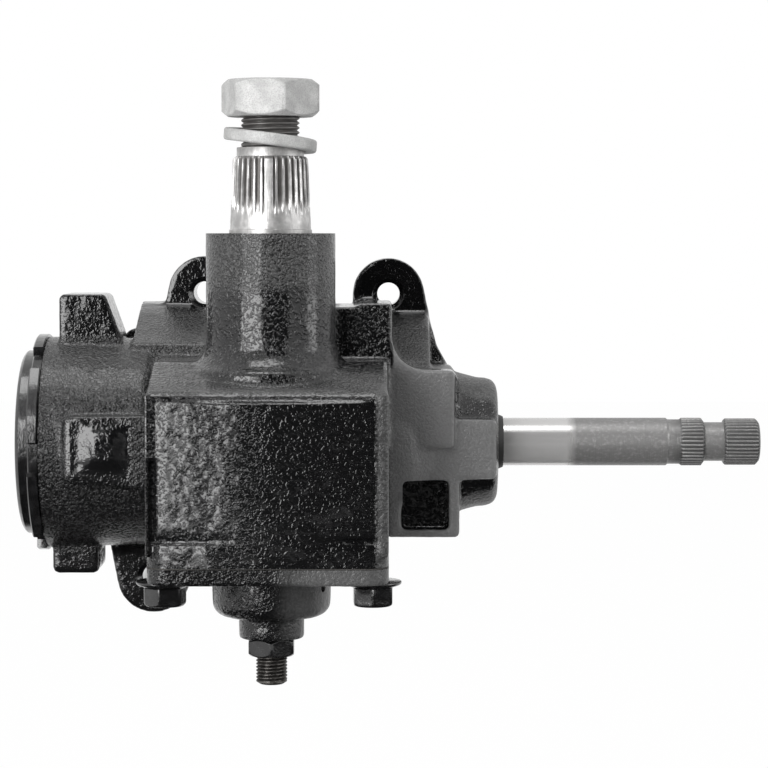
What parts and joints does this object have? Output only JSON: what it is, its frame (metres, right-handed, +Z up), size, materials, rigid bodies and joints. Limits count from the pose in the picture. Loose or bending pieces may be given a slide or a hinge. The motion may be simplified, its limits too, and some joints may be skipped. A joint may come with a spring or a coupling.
{
  "type": "steering gearbox",
  "caption": "Manual recirculating-ball steering gearbox: a worm shaft drives a ball nut and rack that swings a splined sector shaft.",
  "frame": {"origin": "on the rail face of the ears, level with the worm axis and in line with the sector shaft axis", "axes": "+X along the worm towards the input shaft's end, +Y into the frame rail, +Z up along the sector shaft"},
  "size_m": [0.2927, 0.1336, 0.2315],
  "materials": {
    "cast_black": "gloss black paint over rough casting",
    "bolt_black": "gloss black",
    "bright_steel": "machined",
    "zinc": "dull zinc plating",
    "dark_steel": "dark oiled steel",
    "bronze": "plain bearing bronze",
    "seal_rubber": "moulded rubber",
    "gasket_paper": "pressed gasket sheet"
  },
  "bodies": {
    "gearcase": {"gear_housing": "cast_black", "side_cover": "cast_black", "side_cover_gasket": "gasket_paper", "side_cover_bushing": "bronze", "cover_bolt_1": "bolt_black", "cover_bolt_2": "bolt_black", "cover_bolt_3": "bolt_black", "sector_bushing_upper": "bronze", "sector_bushing_lower": "bronze", "sector_shaft_seal": "seal_rubber", "lash_adjuster": "dark_steel", "lash_lock_nut": "cast_black", "worm_bearing_adjuster": "cast_black", "adjuster_lock_ring": "cast_black", "worm_cup_left": "bright_steel", "worm_cup_right": "bright_steel", "worm_shaft_seal": "seal_rubber"},
    "worm": {"worm_shaft": "bright_steel"},
    "ball_nut": {"ball_nut": "bright_steel", "ball_guide_1": "dark_steel", "ball_guide_2": "dark_steel", "guide_clamp": "dark_steel", "clamp_screw_1": "dark_steel", "clamp_screw_2": "dark_steel", "ball_01": "bright_steel", "ball_02": "bright_steel", "ball_03": "bright_steel", "ball_04": "bright_steel", "ball_05": "bright_steel", "ball_06": "bright_steel", "ball_07": "bright_steel", "ball_08": "bright_steel", "ball_09": "bright_steel", "ball_10": "bright_steel", "ball_11": "bright_steel", "ball_12": "bright_steel"},
    "sector": {"sector_shaft": "bright_steel", "pitman_nut": "zinc", "lock_washer": "zinc", "lash_shim": "bright_steel"},
    "left_bearing": {"worm_balls_left": "bright_steel"},
    "right_bearing": {"worm_balls_right": "bright_steel"}
  },
  "joints": [
    {"name": "worm_turn", "type": "hinge", "parent": "gearcase", "child": "worm", "pos_m": [0, -0.045, 0], "axis": [1, 0, 0], "range_deg": [-1008, 1008]},
    {"name": "nut_travel", "type": "slide", "parent": "gearcase", "child": "ball_nut", "axis": [1, 0, 0], "range_m": [-0.0184, 0.0184]},
    {"name": "sector_swing", "type": "hinge", "parent": "gearcase", "child": "sector", "pos_m": [0, -0.091, 0], "axis": [0, 0, 1], "range_deg": [-42.1, 42.1]},
    {"name": "left_bearing_turn", "type": "hinge", "parent": "gearcase", "child": "left_bearing", "pos_m": [-0.055, -0.045, 0], "axis": [1, 0, 0], "range_deg": [-404, 404]},
    {"name": "right_bearing_turn", "type": "hinge", "parent": "gearcase", "child": "right_bearing", "pos_m": [0.055, -0.045, 0], "axis": [1, 0, 0], "range_deg": [-404, 404]}
  ],
  "couplings": [
    {"joint": "nut_travel", "follows": "worm_turn", "m_per_rad": -0.0010417},
    {"joint": "sector_swing", "follows": "worm_turn", "ratio": 0.041667},
    {"joint": "left_bearing_turn", "follows": "worm_turn", "ratio": 0.4},
    {"joint": "right_bearing_turn", "follows": "worm_turn", "ratio": 0.4}
  ]
}
